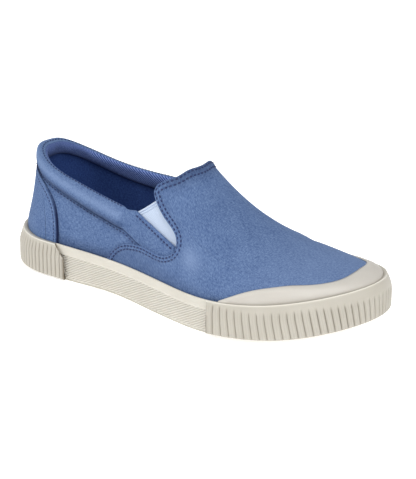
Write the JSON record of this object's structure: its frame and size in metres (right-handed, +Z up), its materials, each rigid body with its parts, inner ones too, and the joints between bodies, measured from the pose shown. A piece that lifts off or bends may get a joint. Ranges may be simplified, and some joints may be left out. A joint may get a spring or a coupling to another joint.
{
  "type": "slip-on sneaker",
  "caption": "Low canvas slip-on shoe for the right foot with elastic side gores, a padded collar, a rubber toe cap and a ribbed rubber sole.",
  "frame": {"origin": "centre of the footprint's bounding box, on the floor under the sole", "axes": "+X from heel to toe, +Y to the inner (medial) side, +Z up from the floor"},
  "size_m": [0.27, 0.1, 0.0874],
  "materials": {
    "outsole": "matte moulded rubber",
    "foxing": "satin moulded rubber",
    "toe_bumper": "satin ribbed rubber",
    "heel_bumper": "satin ribbed rubber",
    "toe_cap": "satin smooth rubber",
    "vamp": "plain woven canvas",
    "quarter": "plain woven canvas",
    "heel_counter": "plain woven canvas",
    "collar": "padded canvas with a twill lining",
    "gore_lateral": "knitted elastic",
    "gore_medial": "knitted elastic",
    "insole": "matte cloth cover"
  },
  "bodies": {
    "root": {"outsole": "outsole", "foxing": "foxing", "toe_bumper": "toe_bumper", "heel_bumper": "heel_bumper", "toe_cap": "toe_cap", "vamp": "vamp", "quarter": "quarter", "heel_counter": "heel_counter", "collar": "collar", "gore_lateral": "gore_lateral", "gore_medial": "gore_medial", "insole": "insole"}
  },
  "joints": []
}
